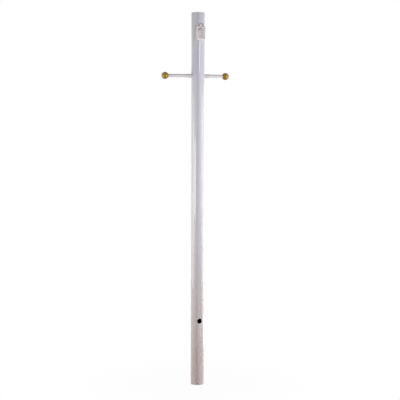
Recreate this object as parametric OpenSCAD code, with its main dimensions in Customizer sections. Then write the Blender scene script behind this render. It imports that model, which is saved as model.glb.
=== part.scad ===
// Outdoor outlet post: a smooth round lamp post for direct burial, with a
// cross arm on ball ends, a weatherproof outlet near the top and a wire
// entry hole near the foot. Millimetres, +Z up, origin at the centre of the
// bottom rim. The outlet and the wire entry face -Y, the arm lies along X.

/* [Post tube] */
// Outside diameter of the post
post_od = 76.2; // [70:0.1:90]
// Length of the post from rim to rim
post_h = 2133.6; // [1800:0.1:2600]
// Wall thickness of the tube
post_wall = 3; // [2.5:0.1:4]
// Diameter of the wire entry hole
entry_d = 28.6; // [20:0.1:30]
// Height of the wire entry above the bottom rim
entry_z = 371.5; // [300:0.1:600]

/* [Cross arm] */
// Depth of the arm's axis below the top rim
arm_drop = 358; // [300:0.5:500]
// Diameter of the arm bar
bar_d = 19.05; // [14:0.05:24]
// Distance between the centres of the two balls
ball_span = 365; // [300:1:500]
// How far the arm sits off centre, towards -X
arm_shift = 15; // [0:1:30]
// Diameter of a ball end
ball_d = 40; // [34:0.5:50]
// Diameter of the flat on which a ball meets the bar
ball_seat_d = 21.5; // [20:0.5:28]
// Diameter of the spigot that carries a ball
spigot_d = 10; // [6:0.5:12]
// Length of the spigot inside a ball
spigot_len = 14; // [8:0.5:18]
// Wall thickness of a collar
collar_wall = 1.5; // [1.2:0.1:3]
// Distance that a collar reaches out from the side of the post
collar_reach = 29; // [18:0.5:45]
// Chamfer on a collar's outer end
collar_chamfer = 0.8; // [0.4:0.1:1]
// Shank diameter of a collar screw
collar_screw_d = 3.5; // [2.5:0.1:5]
// Head diameter of a collar screw
collar_screw_head_d = 7; // [5:0.1:9]
// Head height of a collar screw
collar_screw_head_h = 2.2; // [1.5:0.1:4]
// Distance that a collar screw reaches into the bar
collar_screw_bite = 5; // [3:0.5:7]

/* [Outlet frame] */
// Depth of the outlet's centre below the top rim
outlet_drop = 116.5; // [100:0.5:160]
// Width of the outlet frame
frame_w = 57; // [54:0.5:62]
// Height of the outlet frame
frame_h = 78; // [72:0.5:84]
// Corner radius of the outlet frame
frame_r = 9; // [7:0.5:14]
// Rounding of the frame's front edge
frame_round = 2; // [1:0.1:2.4]
// Distance that the frame stands proud of the front of the post
frame_proud = 6; // [4.5:0.1:8]
// Wall thickness of the frame's skirt and front
frame_wall = 2.4; // [1.8:0.1:3]
// Width of the well inside the frame
well_w = 38; // [37:0.5:40]
// Height of the well inside the frame
well_h = 54; // [54:0.5:56]
// Corner radius of the well
well_r = 16; // [10:0.5:16]
// Wall thickness of the well
well_wall = 2; // [1.5:0.1:2.5]
// Depth of the well's floor below the frame's front
well_depth = 23; // [18:0.5:24]
// Height of the lip round the well on the frame's front
well_lip = 1.2; // [0.6:0.1:2]
// Thickness of the rubber gasket
gasket_t = 1; // [0.5:0.1:1.5]

/* [Receptacle] */
// Distance that the receptacle sits below the middle of the well
receptacle_drop = 2.5; // [0:0.5:3]
// Diameter of the receptacle's face before its flats
face_d = 34.4; // [32:0.1:34.6]
// Height of the face between its flats
face_h = 28.4; // [26:0.1:30]
// Distance that the face stands proud of the well's floor
face_proud = 3; // [1:0.1:4]
// Distance between the centres of the two blade slots
blade_pitch = 12.7; // [12:0.1:13.5]
// Width of a blade slot
blade_slot_w = 2; // [1.6:0.1:2.4]
// Height of the live blade slot
live_slot_h = 6.8; // [6:0.1:7.5]
// Height of the neutral blade slot
neutral_slot_h = 8.4; // [7.6:0.1:9]
// Height of the blade slots above the centre of the face
blade_rise = 4; // [3:0.1:5]
// Distance from the blades down to the earth hole
earth_drop = 11.9; // [11:0.1:12]
// Diameter of the earth hole
earth_d = 5; // [4.4:0.1:5.4]
// Depth of the slots and the earth hole
slot_depth = 4; // [3:0.1:4.2]
// Width of the receptacle's body
body_w = 33; // [28:0.5:33]
// Height of the receptacle's body
body_h = 40; // [34:0.5:44]
// Depth of the receptacle's body
body_depth = 24; // [18:0.5:28]
// Corner radius of the receptacle's body
body_r = 3; // [1:0.5:5]
// Width of the mounting strap
strap_w = 20; // [14:0.5:20]
// Length of the mounting strap from end to end
strap_len = 78; // [76:0.5:90]
// Thickness of the mounting strap
strap_t = 1.3; // [1:0.1:1.6]
// Distance between the two frame screws
frame_screw_pitch = 40.4; // [38:0.1:41]
// Shank diameter of a frame screw
frame_screw_d = 3.4; // [3:0.1:4]
// Head diameter of a frame screw
frame_screw_head_d = 6.6; // [5.5:0.1:7]
// Head height of a frame screw
frame_screw_head_h = 1.8; // [1.4:0.1:2.4]
// Distance that a frame screw reaches behind the strap
frame_screw_tail = 3; // [1:0.5:6]
// Head diameter of a terminal screw
terminal_d = 7; // [5:0.1:8]
// Head height of a terminal screw
terminal_h = 1.8; // [1.2:0.1:2]

/* [Lid] */
// Margin between the lid's edge and the frame's edge
lid_margin = 1.5; // [1:0.1:3]
// Depth of the lid from its rim to its front
lid_depth = 6; // [5:0.1:9]
// Wall thickness of the lid
lid_wall = 1.8; // [1.2:0.1:2.4]
// Rounding of the lid's front edge
lid_round = 4; // [2.5:0.1:4]
// Width of the lid's finger tab
tab_w = 44; // [20:0.5:48]
// Distance that the finger tab stands out below the lid
tab_reach = 4; // [2:0.5:6]
// Distance of the finger tab's back from the lid's rim
tab_inset = 1; // [0.5:0.1:2]

/* [Hinge] */
// Height of the hinge axis above the frame's top edge
hinge_rise = 7.5; // [6:0.1:9]
// Diameter of the hinge pin
pin_d = 3; // [2:0.1:3.6]
// Outside diameter of the lid's knuckle
knuckle_d = 8; // [7:0.1:8.4]
// Length of the lid's knuckle
knuckle_len = 16; // [12:0.5:18]
// Thickness of the web between the knuckle and the lid
web_t = 3.4; // [2:0.1:3.4]
// Outside diameter of a frame ear
ear_d = 8; // [7:0.1:9]
// Thickness of a frame ear
ear_t = 3.6; // [2.5:0.1:4.5]
// Depth of an ear's stem behind the frame's front
ear_stem = 3; // [2:0.1:3.2]
// Distance between the inside faces of the ears
ear_gap = 31; // [29:0.1:33]
// Diameter of a pin head
pin_head_d = 5.2; // [4.4:0.1:6]
// Height of a pin head
pin_head_h = 1.2; // [0.8:0.1:2]
// Wire diameter of a lid spring
spring_wire_d = 1.2; // [1:0.1:1.3]
// Mean coil diameter of a lid spring
spring_coil_d = 6.6; // [6:0.1:7]
// Turns in a lid spring
spring_turns = 3.5; // [2.5:1:3.5]

/* [Fits] */
// Gap between faces that seat on each other
seat_gap = 0.1; // [0.05:0.05:0.2]
// Gap round a piece that passes through an opening
pass_gap = 0.3; // [0.2:0.05:0.5]
// Gap between the well and the opening in the tube
opening_gap = 1; // [0.6:0.1:1.5]
// Radial running clearance of the hinge pin
pin_clear = 0.06; // [0.02:0.01:0.1]
// Radial clearance of the bar in the tube and the collars
bar_clear = 0.15; // [0.1:0.05:0.3]
// Gap between the closed lid and the frame
lid_gap = 0.3; // [0.2:0.05:0.5]

/* [Hidden] */
$fn = 64;

// Overshoot of a cutting tool past the face it cuts
cut = 1;
// Length and depth of a cross recess as shares of its screw's head
recess_len_share = 0.6;
recess_depth_share = 0.5;

// Post
post_r = post_od / 2;
post_ir = post_r - post_wall;
arm_z = post_h - arm_drop;
outlet_z = post_h - outlet_drop;

// Cross arm
bar_r = bar_d / 2;
ball_seat = sqrt(pow(ball_d / 2, 2) - pow(ball_seat_d / 2, 2));
left_ball_x = -ball_span / 2 - arm_shift;
right_ball_x = ball_span / 2 - arm_shift;
collar_r = bar_r + bar_clear + collar_wall;
collar_end = post_r + collar_reach;
collar_screw_x = post_r + collar_reach / 2;

// Outlet, in depth order along Y from the front to the back
frame_front = -post_r - frame_proud;
well_front = frame_front + well_depth;
well_back = well_front + well_wall;
face_front = well_front - face_proud;
strap_front = well_back + seat_gap;
strap_back = strap_front + strap_t;
body_front = strap_back + seat_gap;
frame_top = outlet_z + frame_h / 2;
receptacle_z = outlet_z - receptacle_drop;
opening_w = well_w + 2 * well_wall + 2 * opening_gap;
opening_h = well_h + 2 * well_wall + 2 * opening_gap;
strap_foot_y = -sqrt(pow(post_ir, 2) - pow(strap_w / 2, 2)) + seat_gap;
strap_web_z = opening_h / 2 + opening_gap;

// Lid and hinge
lid_rim = frame_front - lid_gap;
lid_front = lid_rim - lid_depth;
lid_w = frame_w - 2 * lid_margin;
lid_h = frame_h - 2 * lid_margin;
lid_r = frame_r - lid_margin;
tab_h = tab_reach + lid_wall;
tab_z = outlet_z - lid_h / 2 - tab_reach + tab_h / 2;
tab_front = lid_rim - lid_wall - tab_inset;
hinge_y = lid_rim;
hinge_z = frame_top + hinge_rise;
pin_r = pin_d / 2;
spring_r = spring_coil_d / 2;
spring_x = knuckle_len / 2 + pass_gap + spring_wire_d / 2;
spring_end_x = ear_gap / 2 - pass_gap - spring_wire_d / 2;

// Rounded rectangle about the origin, with true arcs at its corners
module rounded_rect(w, h, r) {
    square([w - 2 * r, h], center = true);
    square([w, h - 2 * r], center = true);
    for (sx = [-1, 1], sy = [-1, 1])
        translate([sx * (w / 2 - r), sy * (h / 2 - r)])
            circle(r);
}

// Block with a rounded rectangle as its face, from y_front back to y_back
module outlet_block(w, h, r, y_front, y_back, z = outlet_z) {
    translate([0, y_back, z])
        rotate([90, 0, 0])
            linear_extrude(y_back - y_front)
                rounded_rect(w, h, r);
}

// The same block with the edge of its front face rounded
module soft_block(w, h, r, y_front, y_back, round) {
    run_x = w - 2 * r;
    run_z = h - 2 * r;
    depth = y_back - y_front;
    translate([0, y_front, outlet_z])
        rotate([-90, 0, 0]) {
            translate([-run_x / 2, -run_z / 2, 0])
                cube([run_x, run_z, depth]);
            for (side = [0, 1]) {
                mirror([side, 0, 0])
                    translate([run_x / 2, run_z / 2, 0])
                        rotate([90, 0, 0])
                            linear_extrude(run_z)
                                edge_profile(r, depth, round);
                mirror([0, side, 0])
                    translate([-run_x / 2, run_z / 2, 0])
                        rotate([90, 0, 90])
                            linear_extrude(run_x)
                                edge_profile(r, depth, round);
                for (end = [0, 1])
                    mirror([side, 0, 0])
                        mirror([0, end, 0])
                            translate([run_x / 2, run_z / 2, 0])
                                rotate_extrude(angle = 90)
                                    edge_profile(r, depth, round);
            }
        }
}

// Section from a corner's axis out to its side, with the front corner rounded
module edge_profile(r, depth, round) {
    difference() {
        square([r, depth]);
        difference() {
            translate([r - round, 0])
                square(round);
            translate([r - round, round])
                circle(round);
        }
    }
}

// Cylinder along Y from y_front back to y_back
module rod_y(r, y_front, y_back) {
    translate([0, y_back, 0])
        rotate([90, 0, 0])
            cylinder(r = r, h = y_back - y_front);
}

// Cylinder along X from x_low to x_high
module rod_x(r, x_low, x_high) {
    translate([x_low, 0, 0])
        rotate([0, 90, 0])
            cylinder(r = r, h = x_high - x_low);
}

// ---- Post ----

module post_tube() {
    color("whitesmoke")
        difference() {
            cylinder(r = post_r, h = post_h, $fn = 128);
            translate([0, 0, -cut])
                cylinder(r = post_ir, h = post_h + 2 * cut, $fn = 128);
            translate([0, 0, entry_z])
                rod_y(entry_d / 2, -post_r - cut, 0);
            translate([0, 0, arm_z])
                rod_x(bar_r + bar_clear, -post_r - cut, post_r + cut);
            outlet_block(opening_w, opening_h, well_r + well_wall + opening_gap, -post_r - cut, 0);
        }
}

// ---- Cross arm ----

module arm_bar() {
    left_end = left_ball_x + ball_seat + seat_gap;
    right_end = right_ball_x - ball_seat - seat_gap;
    color("gainsboro")
        translate([0, 0, arm_z])
            difference() {
                union() {
                    rod_x(bar_r, left_end, right_end);
                    rod_x(spigot_d / 2, left_end - spigot_len, right_end + spigot_len);
                }
                for (side = [-1, 1])
                    translate([side * collar_screw_x, 0, -bar_r - cut])
                        cylinder(d = collar_screw_d + 2 * seat_gap, h = collar_screw_bite + pass_gap + cut);
            }
}

// Sleeve on the bar with a saddle cut that follows the side of the post
module collar(side) {
    color("gainsboro")
        translate([0, 0, arm_z])
            difference() {
                rotate([0, side * 90, 0])
                    rotate_extrude()
                        polygon([
                            [bar_r + bar_clear, 0],
                            [collar_r, 0],
                            [collar_r, collar_end - collar_chamfer],
                            [collar_r - collar_chamfer, collar_end],
                            [bar_r + bar_clear, collar_end]
                        ]);
                cylinder(r = post_r + seat_gap, h = 4 * collar_r, center = true, $fn = 128);
                translate([side * collar_screw_x, 0, -collar_r - cut])
                    cylinder(d = collar_screw_d + 2 * seat_gap, h = collar_r + cut);
            }
}

module collar_left() {
    collar(-1);
}

module collar_right() {
    collar(1);
}

// Pan head screw from below, through the collar and into the bar
module collar_screw(side) {
    tip = -bar_r + collar_screw_bite;
    head_top = -collar_r - seat_gap;
    color("silver")
        translate([side * collar_screw_x, 0, arm_z])
            difference() {
                union() {
                    translate([0, 0, head_top - collar_screw_head_h])
                        cylinder(d = collar_screw_head_d, h = collar_screw_head_h);
                    translate([0, 0, head_top])
                        cylinder(d = collar_screw_d, h = tip - head_top);
                }
                translate([0, 0, head_top - collar_screw_head_h])
                    cross_recess(collar_screw_head_d, collar_screw_head_h);
            }
}

module collar_screw_left() {
    collar_screw(-1);
}

module collar_screw_right() {
    collar_screw(1);
}

// Two crossed slots in a screw's head, cut upwards from the plane z = 0
module cross_recess(head_d, head_h) {
    slot_len = head_d * recess_len_share;
    slot_w = slot_len / 4;
    for (turn = [0, 90])
        rotate(turn)
            translate([-slot_len / 2, -slot_w / 2, -cut])
                cube([slot_len, slot_w, head_h * recess_depth_share + cut]);
}

// Turned ball with a flat seat and a blind socket for the spigot
module ball(x, side) {
    color("goldenrod")
        translate([x, 0, arm_z])
            rotate([0, side * -90, 0])
                rotate_extrude($fn = 96)
                    difference() {
                        circle(d = ball_d, $fn = 96);
                        translate([-ball_d, -ball_d])
                            square([ball_d, 2 * ball_d]);
                        translate([0, ball_seat])
                            square(ball_d);
                        translate([0, ball_seat - spigot_len - pass_gap])
                            square([spigot_d / 2 + seat_gap, ball_d]);
                    }
}

module ball_left() {
    ball(left_ball_x, -1);
}

module ball_right() {
    ball(right_ball_x, 1);
}

// ---- Outlet ----

// Rubber sheet that lies on the post under the frame's skirt
module outlet_gasket() {
    color("dimgray")
        intersection() {
            difference() {
                outlet_block(frame_w, frame_h, frame_r, frame_front, 0);
                outlet_block(opening_w, opening_h, well_r + well_wall + opening_gap, frame_front - cut, cut);
            }
            translate([0, 0, outlet_z - frame_h])
                difference() {
                    cylinder(r = post_r + gasket_t, h = 2 * frame_h, $fn = 128);
                    translate([0, 0, -cut])
                        cylinder(r = post_r + seat_gap, h = 2 * frame_h + 2 * cut, $fn = 128);
                }
        }
}

// Moulded frame: a skirt cut to the round of the post, a flat front, a well
// that reaches in through the tube, and two ears for the hinge pin
module outlet_frame() {
    color("mistyrose")
        difference() {
            union() {
                difference() {
                    soft_block(frame_w, frame_h, frame_r, frame_front, 0, frame_round);
                    outlet_block(
                        frame_w - 2 * frame_wall,
                        frame_h - 2 * frame_wall,
                        frame_r - frame_wall,
                        frame_front + frame_wall,
                        cut
                    );
                    translate([0, 0, outlet_z - frame_h])
                        cylinder(r = post_r + gasket_t + seat_gap, h = 2 * frame_h, $fn = 128);
                }
                outlet_block(
                    well_w + 2 * well_wall,
                    well_h + 2 * well_wall,
                    well_r + well_wall,
                    frame_front - well_lip,
                    well_back
                );
                for (side = [-1, 1])
                    hinge_ear(side);
            }
            outlet_block(well_w, well_h, well_r, frame_front - well_lip - cut, well_front);
            face_cutter(pass_gap, well_front - cut, well_back + cut);
            for (side = [-1, 1])
                translate([0, 0, receptacle_z + side * frame_screw_pitch / 2])
                    rod_y(frame_screw_d / 2 + seat_gap, well_front - cut, well_back + cut);
            translate([0, hinge_y, hinge_z])
                rod_x(pin_r + pin_clear, -frame_w, frame_w);
        }
}

// Ear on the frame's shoulder: a stem flush with the front, and a round eye
module hinge_ear(side) {
    x_low = side > 0 ? ear_gap / 2 : -ear_gap / 2 - ear_t;
    stem_foot = shoulder_z(ear_gap / 2 + ear_t) - frame_round - frame_wall;
    translate([0, hinge_y, hinge_z])
        rod_x(ear_d / 2, x_low, x_low + ear_t);
    translate([x_low, frame_front, stem_foot])
        cube([ear_t, ear_stem, hinge_z - stem_foot]);
}

// Outline of the receptacle's face: a circle with two flats
module face_cutter(gap, y_front, y_back) {
    intersection() {
        translate([0, 0, receptacle_z])
            rod_y(face_d / 2 + gap, y_front, y_back);
        translate([-face_d, y_front, receptacle_z - face_h / 2 - gap])
            cube([2 * face_d, y_back - y_front, face_h + 2 * gap]);
    }
}

// Screw through the well's floor into the mounting strap
module frame_screw(side) {
    head_back = well_front - seat_gap;
    color("silver")
        translate([0, 0, receptacle_z + side * frame_screw_pitch / 2])
            difference() {
                union() {
                    rod_y(frame_screw_head_d / 2, head_back - frame_screw_head_h, head_back);
                    rod_y(frame_screw_d / 2, head_back, strap_back + frame_screw_tail);
                }
                translate([0, head_back - frame_screw_head_h, 0])
                    rotate([-90, 0, 0])
                        cross_recess(frame_screw_head_d, frame_screw_head_h);
            }
}

module frame_screw_upper() {
    frame_screw(1);
}

module frame_screw_lower() {
    frame_screw(-1);
}

// Face with two blade slots and a D-shaped earth hole
module receptacle_face() {
    blades_z = receptacle_z + blade_rise;
    earth_z = blades_z - earth_drop;
    color("ivory")
        difference() {
            face_cutter(0, face_front, strap_front - seat_gap);
            blade_slot(-blade_pitch / 2, blades_z, neutral_slot_h);
            blade_slot(blade_pitch / 2, blades_z, live_slot_h);
            translate([0, 0, earth_z])
                rod_y(earth_d / 2, face_front - cut, face_front + slot_depth);
            translate([-earth_d / 2, face_front - cut, earth_z])
                cube([earth_d, slot_depth + cut, earth_d / 2]);
        }
}

module blade_slot(x, z, h) {
    translate([x - blade_slot_w / 2, face_front - cut, z - h / 2])
        cube([blade_slot_w, slot_depth + cut, h]);
}

// Closed block behind the strap that holds the contacts
module receptacle_body() {
    screw_room = frame_screw_d / 2 + pass_gap;
    color("linen")
        difference() {
            outlet_block(body_w, body_h, body_r, body_front, body_front + body_depth, receptacle_z);
            for (side = [-1, 1])
                translate([0, 0, receptacle_z + side * frame_screw_pitch / 2])
                    rod_y(screw_room, body_front - cut, strap_back + frame_screw_tail + pass_gap);
        }
}

// Steel strap behind the well, bent forward at both ends so that its feet
// bear on the inside of the tube, above and below the opening
module mounting_strap() {
    foot_len = strap_len / 2 - strap_web_z;
    color("lightgray")
        difference() {
            translate([-strap_w / 2, 0, outlet_z])
                rotate([90, 0, 90])
                    linear_extrude(strap_w) {
                        translate([strap_front, -strap_web_z - strap_t])
                            square([strap_t, 2 * (strap_web_z + strap_t)]);
                        for (side = [0, 1])
                            mirror([0, side])
                                translate([strap_foot_y, strap_web_z]) {
                                    square([strap_back - strap_foot_y, strap_t]);
                                    square([strap_t, foot_len]);
                                }
                    }
            for (side = [-1, 1])
                translate([0, 0, receptacle_z + side * frame_screw_pitch / 2])
                    rod_y(frame_screw_d / 2 + seat_gap, strap_front - cut, strap_back + cut);
        }
}

// Slotted screw head on the side of the receptacle's body
module terminal_screw(side, z) {
    slot_w = terminal_d / 6;
    translate([side * (body_w / 2 + seat_gap), body_front + body_depth / 2, z])
        rotate([0, side * 90, 0])
            difference() {
                cylinder(d = terminal_d, h = terminal_h);
                translate([-terminal_d, -slot_w / 2, terminal_h / 2])
                    cube([2 * terminal_d, slot_w, terminal_h]);
            }
}

module terminal_screw_live() {
    color("gold")
        terminal_screw(1, receptacle_z + body_h / 4);
}

module terminal_screw_neutral() {
    color("silver")
        terminal_screw(-1, receptacle_z + body_h / 4);
}

module terminal_screw_earth() {
    color("forestgreen")
        terminal_screw(-1, receptacle_z - body_h / 4);
}

// ---- Lid and hinge ----

module hinge_pin() {
    end_x = ear_gap / 2 + ear_t + seat_gap;
    color("silver")
        translate([0, hinge_y, hinge_z]) {
            rod_x(pin_r, -end_x, end_x);
            rod_x(pin_head_d / 2, end_x, end_x + pin_head_h);
            rod_x(pin_head_d / 2, -end_x - pin_head_h, -end_x);
        }
}

// Coil round the hinge pin, with a straight leg at its outer end that stands
// on the frame's shoulder
module lid_spring(side) {
    sides = 8;
    steps_per_turn = 16;
    steps = spring_turns * steps_per_turn;
    pitch_x = (spring_end_x - spring_x) / steps;
    leg_len = hinge_z - shoulder_z(spring_end_x - spring_wire_d / 2) - seat_gap;
    centres = concat(
        [for (i = [0:steps]) spring_point(spring_x + pitch_x * i, 360 * (steps - i) / steps_per_turn)],
        [[spring_end_x, spring_r, -leg_len]]
    );
    outs = [for (i = [0:steps + 1]) spring_point(0, 360 * max(steps - i, 0) / steps_per_turn) / spring_r];
    rings = [
        for (i = [0:steps + 1])
            [for (j = [0:sides - 1])
                centres[i] + spring_wire_d / 2 * (cos(360 * j / sides) * outs[i] + [sin(360 * j / sides), 0, 0])]
    ];
    last = steps + 1;
    color("dimgray")
        translate([0, hinge_y, hinge_z])
            mirror([side > 0 ? 0 : 1, 0, 0])
                polyhedron(
                    points = [for (ring = rings) each ring],
                    faces = concat(
                        [[for (j = [sides - 1:-1:0]) j]],
                        [
                            for (i = [0:last - 1], j = [0:sides - 1])
                                [
                                    i * sides + j,
                                    i * sides + (j + 1) % sides,
                                    (i + 1) * sides + (j + 1) % sides,
                                    (i + 1) * sides + j
                                ]
                        ],
                        [[for (j = [0:sides - 1]) last * sides + j]]
                    )
                );
}

// Point on the spring's coil at a place along the pin and an angle round it
function spring_point(x, angle) = [x, spring_r * cos(angle), spring_r * sin(angle)];

// Height of the frame's rounded shoulder at a distance from its middle
function shoulder_z(x) =
    frame_top - frame_r + sqrt(pow(frame_r, 2) - pow(max(x - frame_w / 2 + frame_r, 0), 2));

module lid_spring_left() {
    lid_spring(-1);
}

module lid_spring_right() {
    lid_spring(1);
}

// Clear shell with a rounded front, a knuckle at the top and a finger tab
module outlet_lid() {
    color("lavenderblush", 0.5)
        difference() {
            union() {
                difference() {
                    soft_block(lid_w, lid_h, lid_r, lid_front, lid_rim, lid_round);
                    soft_block(
                        lid_w - 2 * lid_wall,
                        lid_h - 2 * lid_wall,
                        lid_r - lid_wall,
                        lid_front + lid_wall,
                        lid_rim + cut,
                        lid_round - lid_wall
                    );
                }
                translate([0, hinge_y, hinge_z])
                    rod_x(knuckle_d / 2, -knuckle_len / 2, knuckle_len / 2);
                translate([-knuckle_len / 2, hinge_y - web_t, outlet_z + lid_h / 2 - lid_wall])
                    cube([knuckle_len, web_t, hinge_z - outlet_z - lid_h / 2 + lid_wall]);
                outlet_block(tab_w, tab_h, lid_wall, tab_front, tab_front + lid_wall, tab_z);
            }
            translate([0, hinge_y, hinge_z])
                rod_x(pin_r + pin_clear, -knuckle_len, knuckle_len);
        }
}

post_tube();
arm_bar();
collar_left();
collar_right();
collar_screw_left();
collar_screw_right();
ball_left();
ball_right();
outlet_gasket();
outlet_frame();
frame_screw_upper();
frame_screw_lower();
receptacle_face();
receptacle_body();
mounting_strap();
terminal_screw_live();
terminal_screw_neutral();
terminal_screw_earth();
hinge_pin();
lid_spring_left();
lid_spring_right();
outlet_lid();
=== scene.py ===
"""Looks of a round outdoor outlet post: painted tube, cross arm on brass balls, and a lidded outlet.

Metres throughout. The outlet and the wire entry face -Y, the arm lies along X and the post stands on z = 0.
"""

import logging
import math
from dataclasses import dataclass, replace
from enum import Enum
from functools import lru_cache
from typing import Any, Iterable, Sequence, Union

import bmesh
import bpy
from bmesh.types import BMEdge, BMesh, BMVert
from mathutils import Matrix, Vector


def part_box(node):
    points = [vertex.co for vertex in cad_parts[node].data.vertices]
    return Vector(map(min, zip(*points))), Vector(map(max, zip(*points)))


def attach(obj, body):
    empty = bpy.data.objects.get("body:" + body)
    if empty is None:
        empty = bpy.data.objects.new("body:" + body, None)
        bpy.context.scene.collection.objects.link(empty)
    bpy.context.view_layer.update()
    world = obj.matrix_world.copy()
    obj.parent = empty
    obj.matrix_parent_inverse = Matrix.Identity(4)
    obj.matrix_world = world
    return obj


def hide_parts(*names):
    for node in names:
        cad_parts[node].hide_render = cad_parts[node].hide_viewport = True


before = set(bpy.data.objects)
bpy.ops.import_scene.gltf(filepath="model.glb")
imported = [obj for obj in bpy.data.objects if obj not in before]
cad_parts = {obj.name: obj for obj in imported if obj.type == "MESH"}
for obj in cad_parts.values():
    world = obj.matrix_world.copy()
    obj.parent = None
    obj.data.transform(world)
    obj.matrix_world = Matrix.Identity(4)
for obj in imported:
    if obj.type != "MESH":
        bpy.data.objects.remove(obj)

LOG = logging.getLogger("outlet_post")
MM = 0.001

Colour = tuple[float, float, float]
Point = tuple[float, float]
Value = Union["Socket", float, Sequence[float]]


def middle_of(node: str) -> Vector:
    """Middle of a CAD node's box."""
    low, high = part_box(node)
    return (low + high) / 2


class Axis(Enum):
    """Direction that a turned piece is turned about."""

    X = (1.0, 0.0, 0.0)
    Y = (0.0, 1.0, 0.0)
    Z = (0.0, 0.0, 1.0)

    @property
    def along(self) -> Vector:
        """The direction of the axis."""
        return Vector(self.value)

    @property
    def out(self) -> Vector:
        """The direction in which a profile's radius is laid before it is turned."""
        return Vector((1.0, 0.0, 0.0)) if self is Axis.Z else Vector((0.0, 0.0, 1.0))


class Side(Enum):
    """Left and right of the post, seen from the outlet's side."""

    LEFT = -1
    RIGHT = 1

    @property
    def word(self) -> str:
        """The side's name, as it stands in the names of nodes and pieces."""
        return self.name.lower()


# ---- Shading ----


class Socket:
    """An output socket of a material that can be used in arithmetic."""

    def __init__(self, graph: "Graph", link: bpy.types.NodeSocket) -> None:
        """Wraps a link of a graph."""
        self.graph = graph
        self.link = link

    def _math(self, operation: str, *terms: Value) -> "Socket":
        """A Math node on the terms."""
        return self.graph.node("ShaderNodeMath", {"operation": operation}, dict(enumerate(terms)))

    def __add__(self, other: Value) -> "Socket":
        """self + other."""
        return self._math("ADD", self, other)

    def __radd__(self, other: Value) -> "Socket":
        """other + self."""
        return self._math("ADD", other, self)

    def __sub__(self, other: Value) -> "Socket":
        """self - other."""
        return self._math("SUBTRACT", self, other)

    def __rsub__(self, other: Value) -> "Socket":
        """other - self."""
        return self._math("SUBTRACT", other, self)

    def __mul__(self, other: Value) -> "Socket":
        """self * other."""
        return self._math("MULTIPLY", self, other)

    def __rmul__(self, other: Value) -> "Socket":
        """other * self."""
        return self._math("MULTIPLY", other, self)

    def __abs__(self) -> "Socket":
        """The size of self."""
        return self._math("ABSOLUTE", self)

    def ramp(self, low: float, high: float) -> "Socket":
        """Rises smoothly from 0 at low to 1 at high.

        Args:
            low: Value at which the rise starts.
            high: Value at which it ends.

        Returns:
            A socket between 0 and 1.
        """
        return self.graph.node(
            "ShaderNodeMapRange",
            {"interpolation_type": "SMOOTHSTEP"},
            {"Value": self, "From Min": low, "From Max": high},
        )


class Graph:
    """Node tree of a material or of the world."""

    def __init__(self, owner: bpy.types.Material | bpy.types.World, output: str) -> None:
        """Clears the owner's tree down to its output.

        Args:
            owner: Material or world.
            output: Type of the output node.
        """
        owner.use_nodes = True
        self.tree = owner.node_tree
        self.tree.nodes.clear()
        self.output = self.tree.nodes.new(output)

    def surface(self, shader: "Socket") -> None:
        """Shows a shader on the surface."""
        self.feed(self.output.inputs["Surface"], shader)

    def seen(self) -> "Socket":
        """Tells what the eye sees from what only lights the piece.

        Returns:
            1 for what is seen directly, in a reflection or through a clear piece, and 0 for other rays.
        """
        missed: Value = 1.0
        for ray in ("Is Camera Ray", "Is Glossy Ray", "Is Transmission Ray"):
            missed = missed * (1 - self.node("ShaderNodeLightPath", output=ray))
        return 1 - missed

    def feed(self, target: bpy.types.NodeSocket, value: Value) -> None:
        """Links a socket to an input, or sets the input's own value.

        Args:
            target: Input socket to feed.
            value: A Socket, a number or a colour.
        """
        if isinstance(value, Socket):
            self.tree.links.new(value.link, target)
        elif isinstance(value, (int, float)):
            target.default_value = value
        else:
            size = len(target.default_value)
            target.default_value = (*value, 1.0)[:size]

    def node(
        self,
        kind: str,
        settings: dict[str, Any] | None = None,
        inputs: dict[Any, Value] | None = None,
        output: Any = 0,
    ) -> Socket:
        """Adds any other node.

        Args:
            kind: The node's type.
            settings: Its properties, set before its inputs.
            inputs: Values or links by the input's name or number.
            output: Name or number of the output to return.

        Returns:
            The chosen output.
        """
        made = self.tree.nodes.new(kind)
        for key, setting in (settings or {}).items():
            setattr(made, key, setting)
        for key, value in (inputs or {}).items():
            self.feed(made.inputs[key], value)
        return Socket(self, made.outputs[output])

    def place(self, stretch: Sequence[float] = (1.0, 1.0, 1.0)) -> Socket:
        """Object coordinates in metres, stretched along each axis."""
        point = self.node("ShaderNodeTexCoord", output="Object")
        return self.node("ShaderNodeMapping", {}, {"Vector": point, "Scale": stretch})

    def part(self, axis: str) -> Socket:
        """One of the object coordinates, named X, Y or Z."""
        return self.node("ShaderNodeSeparateXYZ", {}, {0: self.place()}, axis)

    def noise(
        self, scale: float, detail: float = 2.0, stretch: Sequence[float] = (1.0, 1.0, 1.0)
    ) -> Socket:
        """Soft noise between 0 and 1.

        Args:
            scale: Lumps per metre.
            detail: Octaves of finer noise.
            stretch: Scale of each axis before the noise is read.

        Returns:
            The noise's factor.
        """
        return self.node(
            "ShaderNodeTexNoise", {}, {"Vector": self.place(stretch), "Scale": scale, "Detail": detail}
        )

    def mix(self, factor: Value, first: Value, second: Value) -> Socket:
        """Blends two colours.

        Args:
            factor: 0 gives the first colour and 1 the second.
            first: A colour or a socket.
            second: A colour or a socket.

        Returns:
            The blended colour.
        """
        # Inputs 6 and 7 and output 2 are the node's colours; the others are its numbers and vectors.
        return self.node("ShaderNodeMix", {"data_type": "RGBA"}, {0: factor, 6: first, 7: second}, 2)


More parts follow.
